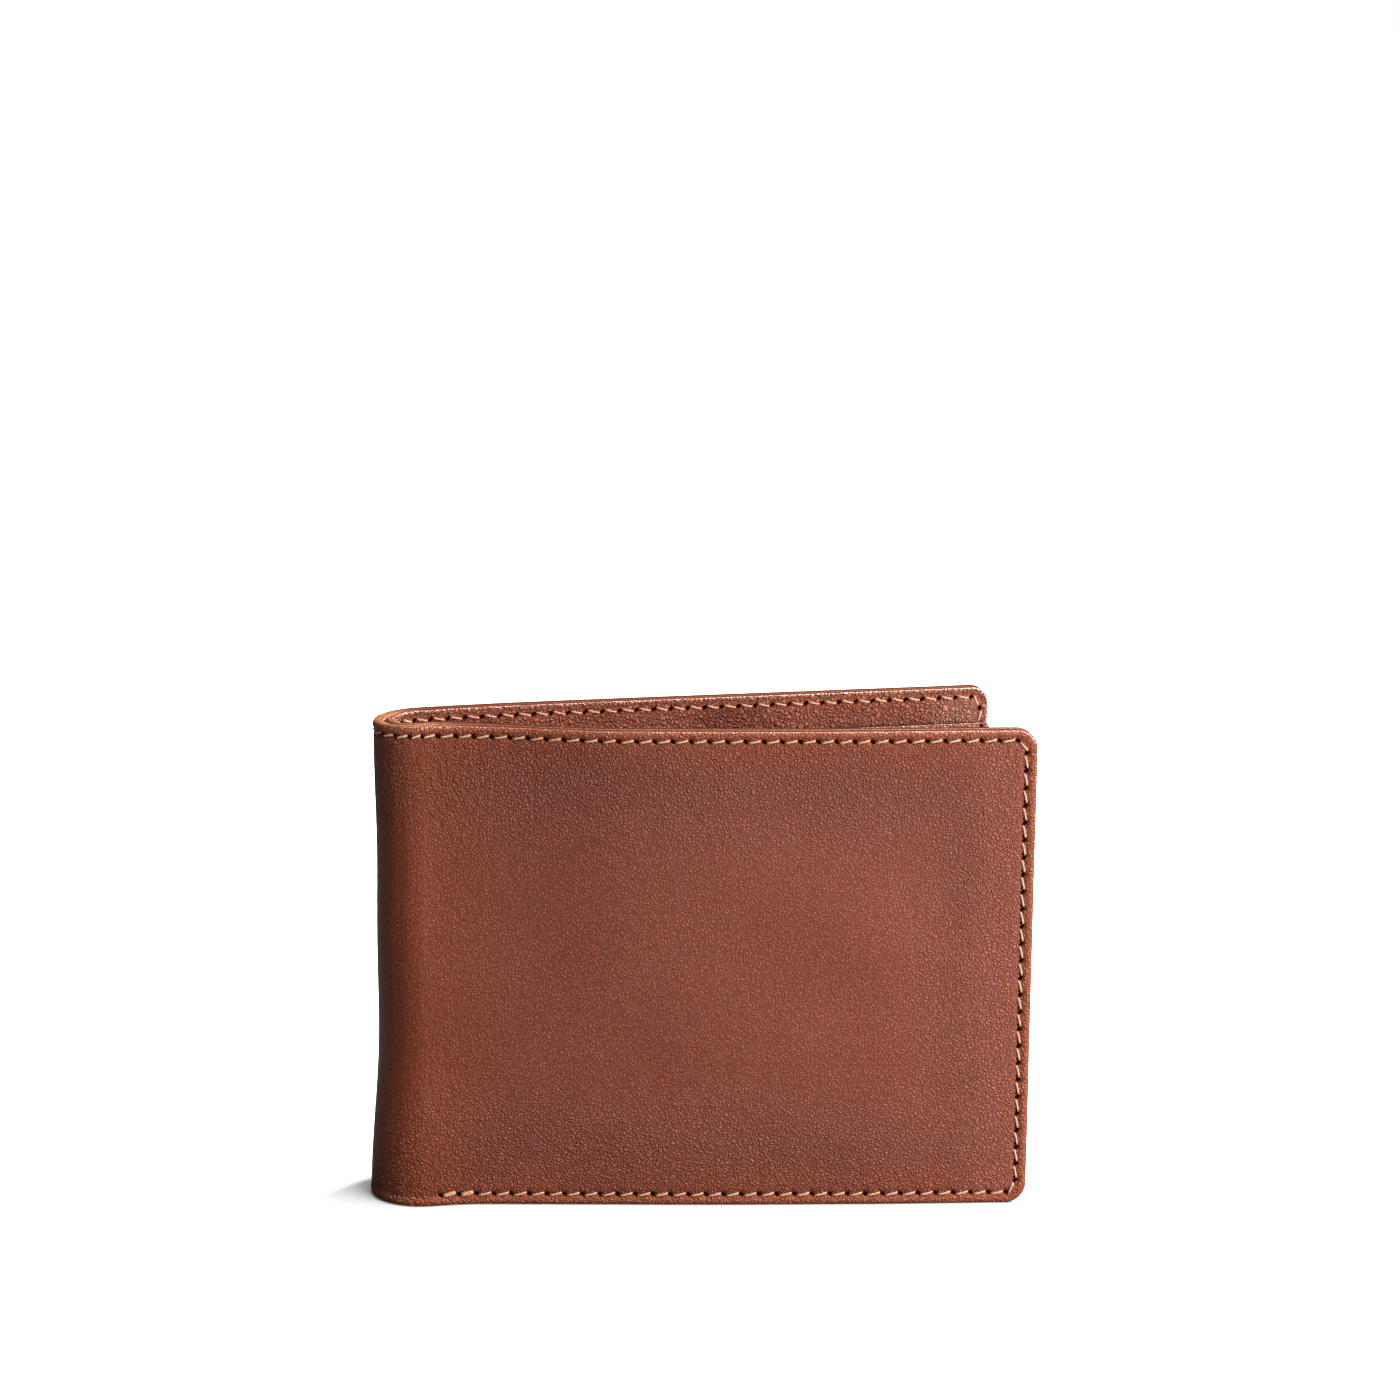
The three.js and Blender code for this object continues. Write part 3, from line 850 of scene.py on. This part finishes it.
def make_lining():
    margin = REACH - BOXES["lining"].s1
    s, z = strip_grid(REACH - margin, BOXES["lining"].z0, HEIGHT, LINING_RIM)

    def outer(flat_s, flat_z, edge):
        return LINING_FACE - LINING + loose_lining(flat_s) + rounding(edge, LINING_RIM)

    def inner(flat_s, flat_z, edge):
        from_shell_edge = edge + margin
        outside_seam = LINING_PUFF * hill(from_shell_edge, centre=1.0, before=1.0, after=1.0)
        inside_seam = LINING_SWELL * hill(from_shell_edge, centre=3.2, before=1.2, after=2.6)
        puffed = outside_seam + inside_seam
        face = LINING_FACE + loose_lining(flat_s) - rounding(edge, LINING_RIM) + puffed
        return face - RELIEF_ON_LINING * seam_relief(flat_s, flat_z, from_shell_edge, OUTER_HOLES)

    sheet = Sheet(s, z, outer, inner, "inner", OUTER_HOLES, all_corners(CORNER - margin), LINING_RIM)
    fold_pieces(sheet, "lining_leather", LINING_LEATHER, "lining_leather", "lining")


# --- Stiffener, note compartment and card slots ---
CREASE_OFFSETS = (-0.3, -0.15, 0, 0.15, 0.3)
CREASE_DEPTH = 0.12
CREASE_WIDTH = 0.2
MOUTH_PUFF = 0.05
MOUTH_GIVE = 9


def layer_grid(box, sign, rim, crease):
    """Grid lines of a layer: close together at its rims, at the holes of the seams and at the crease."""
    start, end = sorted((sign * box.s0, sign * box.s1))
    rims = rim_lines(rim, band_end=0.9)
    s_wanted = [start + d for d in rims] + [end - d for d in rims]
    s_wanted += [sign * STACK_SEAM + offset for offset in HOLE_OFFSETS]
    s_wanted += [sign * (REACH - SEAM_INSET) + offset for offset in HOLE_OFFSETS]
    z_wanted = [box.z0 + d for d in rims] + [box.z1 - d for d in rims]
    if box.z0 < SEAM_INSET < box.z1:
        s_wanted += TOP_HOLE_LINES
        z_wanted += [SEAM_INSET + offset for offset in HOLE_OFFSETS]
    z_wanted += END_HOLE_LINES
    if crease:
        z_wanted += [box.z1 - crease + offset for offset in CREASE_OFFSETS]
    return spread(start, end, s_wanted, LAYER_STEP), spread(box.z0, box.z1, z_wanted, LAYER_STEP)


def layer_corners(name, sign):
    """Radii of a layer's rounded corners: at the foot of the free end, and at both ends of the mouth."""
    near, far = ("s0", "s1") if sign > 0 else ("s1", "s0")
    radii = {}
    if name in ("bill_wall", "card_panel", "card_pocket", "stiffener"):
        radii[far, "z0"] = INNER_CORNER
    if name not in BACKINGS:
        radii[near, "z1"] = MOUTH_CORNER
        radii[far, "z1"] = MOUTH_CORNER
    return radii


def make_layer(side, name, material, slot, rim, crease=None, belly=0.0):
    """One flat layer inside a half, with its shown face inwards. crease is the distance from the mouth at
    which a line is pressed, and belly how far the mouth stands off in the middle."""
    box = BOXES[name]
    sign = 1 if side == "front" else -1
    s, z = layer_grid(box, sign, rim, crease)

    def stand_off(flat_s, flat_z):
        middle = np.sin(np.pi * np.clip((np.abs(flat_s) - box.s0) / (box.s1 - box.s0), 0, 1)) ** 0.5
        return belly * middle * ease(flat_z, box.z1 - MOUTH_GIVE, box.z1)

    def outer(flat_s, flat_z, edge):
        return box.n0 + rounding(edge, rim) + stand_off(flat_s, flat_z)

    def inner(flat_s, flat_z, edge):
        depth = box.n1 - rounding(edge, rim) + stand_off(flat_s, flat_z)
        depth = depth - RELIEF_ON_LAYERS * seam_relief(flat_s, flat_z, FAR_AWAY, POCKET_HOLES)
        if crease:
            from_mouth = box.z1 - flat_z
            depth = depth - CREASE_DEPTH * bell(from_mouth - crease, CREASE_WIDTH)
            depth = depth + MOUTH_PUFF * hill(from_mouth, crease / 2, crease / 2, crease / 2)
        return depth

    sheet = Sheet(s, z, outer, inner, "inner", POCKET_HOLES, layer_corners(name, sign), rim)
    piece = sheet.piece(f"{side}_{name}_visual", material, slot)
    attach(piece, side)
    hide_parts(f"{side}_{name}")


def make_half(side):
    make_layer(side, "stiffener", BOARD, "stiffener_board", rim=0.15)
    make_layer(side, "bill_wall", LINING_LEATHER, "lining_leather", rim=0.28, crease=1.8)
    make_layer(side, "card_panel", POCKET_LEATHER, "pocket_leather", rim=0.24, crease=1.6)
    for i in CARD_SLOTS:
        make_layer(side, f"card_slot_{i}", POCKET_LEATHER, "pocket_leather", rim=0.24, crease=1.6, belly=0.12)
        make_layer(side, f"slot_backing_{i}", POCKET_CLOTH, "pocket_fabric", rim=0.1)
    make_layer(side, "card_pocket", POCKET_LEATHER, "pocket_leather", rim=0.33, crease=1.6, belly=0.2)


# --- Stitching ---
FIRST_HALF_HOLE = int(np.argmax(EDGE_HOLES[1][:, 0] >= SHELL_SPLIT))


def sew(name, starts, ends, depth, face, body, node):
    piece = thread(name, starts, ends, depth, face)
    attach(piece, body)
    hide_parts(node)


def sew_half(side, sign):
    """The seam round a half: on the shell, on the lining above the note compartment's wall, and on the
    pockets together with the seam beside the spine. Its last stitches on the shell are doubled."""
    starts, ends = stitches_between(EDGE_HOLES[sign][FIRST_HALF_HOLE:], sign)
    doubled = [np.concatenate([row, row[-BACKTACK:] + (0, BACKTACK_STEP)]) for row in (starts, ends)]
    depth = np.full(len(doubled[0]), OUTER_SEAM_DEPTH)
    sew(f"{side}_outer_stitches", *doubled, depth, -1, side, f"{side}_edge_stitching")

    on_top = (starts[:, 1] + ends[:, 1]) / 2 > BOXES["bill_wall"].z1
    depth = np.full(on_top.sum(), LINING_FACE - INNER_SEAM_DEPTH)
    sew(f"{side}_lining_stitches", starts[on_top], ends[on_top], depth, 1, side, f"{side}_lining_stitching")

    stack_starts, stack_ends = stitches_between(STACK_HOLES[sign], 1)
    starts = np.concatenate([starts[~on_top], stack_starts])
    ends = np.concatenate([ends[~on_top], stack_ends])
    depth = inside_face(*((starts + ends) / 2).T) - INNER_SEAM_DEPTH
    sew(f"{side}_inner_stitches", starts, ends, depth, 1, side, f"{side}_pocket_stitching")


def sew_spine():
    """The seam round the spine. Each stitch goes in the piece of the hinge nearest to it."""
    back_holes = EDGE_HOLES[-1][FIRST_HALF_HOLE:0:-1]
    front_holes = EDGE_HOLES[1][: FIRST_HALF_HOLE + 1]
    starts, ends = stitches_between(np.concatenate([back_holes, front_holes]), 1)
    middle = (starts[:, 0] + ends[:, 0]) / 2
    hinge_of = np.digitize(middle, FOLD_CUTS[1:-1])
    outer_depth = np.full(len(middle), OUTER_SEAM_DEPTH)
    lining_depth = LINING_FACE - INNER_SEAM_DEPTH + loose_lining(middle)
    for name, depth, face in (("outer", outer_depth, -1), ("lining", lining_depth, 1)):
        for k in range(len(hinges)):
            chosen = hinge_of == k
            run = (starts[chosen], ends[chosen], depth[chosen])
            piece = thread(f"spine_{name}_stitches_{k + 1}", *run, face)
            bend_at_hinge(piece, k)
            if name == "outer" and k < len(SPINE_PLACES):
                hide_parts(f"spine_stitching_{SPINE_PLACES[k]}")


# --- Studio ---
WHITE = (1, 1, 1, 1)
FLOOR_FOR_WALLET = (0.09, 0.088, 0.085)
FLOOR_FOR_CAMERA = (0.93, 0.93, 0.93)
FLOOR_GLOW = 0.08


def link(thing):
    bpy.context.scene.collection.objects.link(thing)
    return thing


def make_camera():
    data = bpy.data.cameras.new("camera")
    data.lens = LENS
    data.shift_x = SIDE_SHIFT
    data.clip_start = 0.01
    data.clip_end = 100
    camera = link(bpy.data.objects.new("camera", data))
    back_off = Vector((0, -math.cos(ELEVATION), math.sin(ELEVATION)))
    camera.location = AIM + back_off * DISTANCE
    camera.rotation_euler = (math.pi / 2 - ELEVATION, 0, 0)
    bpy.context.scene.camera = camera


def make_floor(size=30.0):
    """A floor that is white where it is seen and returns only part of its light to the wallet, as a table in
    a large dark studio does."""
    mesh = bpy.data.meshes.new("floor")
    corners = [(-size, -size, 0), (size, -size, 0), (size, size, 0), (-size, size, 0)]
    mesh.from_pydata(corners, [], [(0, 1, 2, 3)])
    nodes = Nodes("white_floor")
    seen = nodes.add("ShaderNodeLightPath").outputs["Is Camera Ray"]
    tint = nodes.mix(seen, FLOOR_FOR_WALLET, FLOOR_FOR_CAMERA)
    nodes.shade(Base_Color=tint, Roughness=0.8, Specular_IOR_Level=0.1)
    nodes.shade(Emission_Color=WHITE, Emission_Strength=nodes.times(seen, FLOOR_GLOW))
    mesh.materials.append(nodes.material)
    floor = link(bpy.data.objects.new("floor", mesh))


def make_light(name, location, size, power):
    """A square light that faces the origin. Places and sizes are in metres, and power in watts."""
    data = bpy.data.lights.new(name, "AREA")
    data.shape = "SQUARE"
    data.size = size
    data.energy = power
    light = link(bpy.data.objects.new(name, data))
    light.location = location
    light.rotation_euler = (-Vector(location)).to_track_quat("-Z", "Y").to_euler()


def make_overhead():
    """Soft light from above and a little to the right, which keeps the floor white right to the horizon."""
    data = bpy.data.lights.new("overhead", "SUN")
    data.energy = 2.4
    data.angle = math.radians(50)
    overhead = link(bpy.data.objects.new("overhead", data))
    overhead.rotation_euler = (math.radians(5), math.radians(18), 0)


def make_world():
    """White where it is seen. Its light comes mostly from the right, and little of it from the left."""
    world = bpy.data.worlds.new("studio")
    world.use_nodes = True
    tree = world.node_tree
    background = tree.nodes["Background"]
    background.inputs["Color"].default_value = WHITE
    direction = tree.nodes.new("ShaderNodeTexCoord").outputs["Generated"]
    seen = tree.nodes.new("ShaderNodeLightPath").outputs["Is Camera Ray"]
    apart = tree.nodes.new("ShaderNodeSeparateXYZ")
    from_side = tree.nodes.new("ShaderNodeMapRange")
    from_side.interpolation_type = "SMOOTHSTEP"
    for key, value in {"From Min": -0.35, "From Max": 0.9, "To Min": 0.01, "To Max": 0.95}.items():
        from_side.inputs[key].default_value = value
    strength = tree.nodes.new("ShaderNodeMath")
    strength.operation = "MAXIMUM"
    tree.links.new(direction, apart.inputs[0])
    tree.links.new(apart.outputs[0], from_side.inputs["Value"])
    tree.links.new(from_side.outputs[0], strength.inputs[0])
    tree.links.new(seen, strength.inputs[1])
    tree.links.new(strength.outputs[0], background.inputs["Strength"])
    bpy.context.scene.world = world


def make_studio():
    make_camera()
    make_floor()
    make_world()
    make_overhead()
    make_light("key", location=(0.42, -0.5, 0.38), size=0.4, power=3.0)
    make_light("back", location=(0.3, 0.2, 0.4), size=0.25, power=11)
    make_light("side", location=(0.21, -0.12, 0.07), size=0.12, power=0.26)
    bpy.context.scene.view_settings.view_transform = "Standard"


make_studio()
make_shell()
make_lining()
for half_name in ("front", "back"):
    make_half(half_name)
for half_name, half_sign in (("front", 1), ("back", -1)):
    sew_half(half_name, half_sign)
sew_spine()
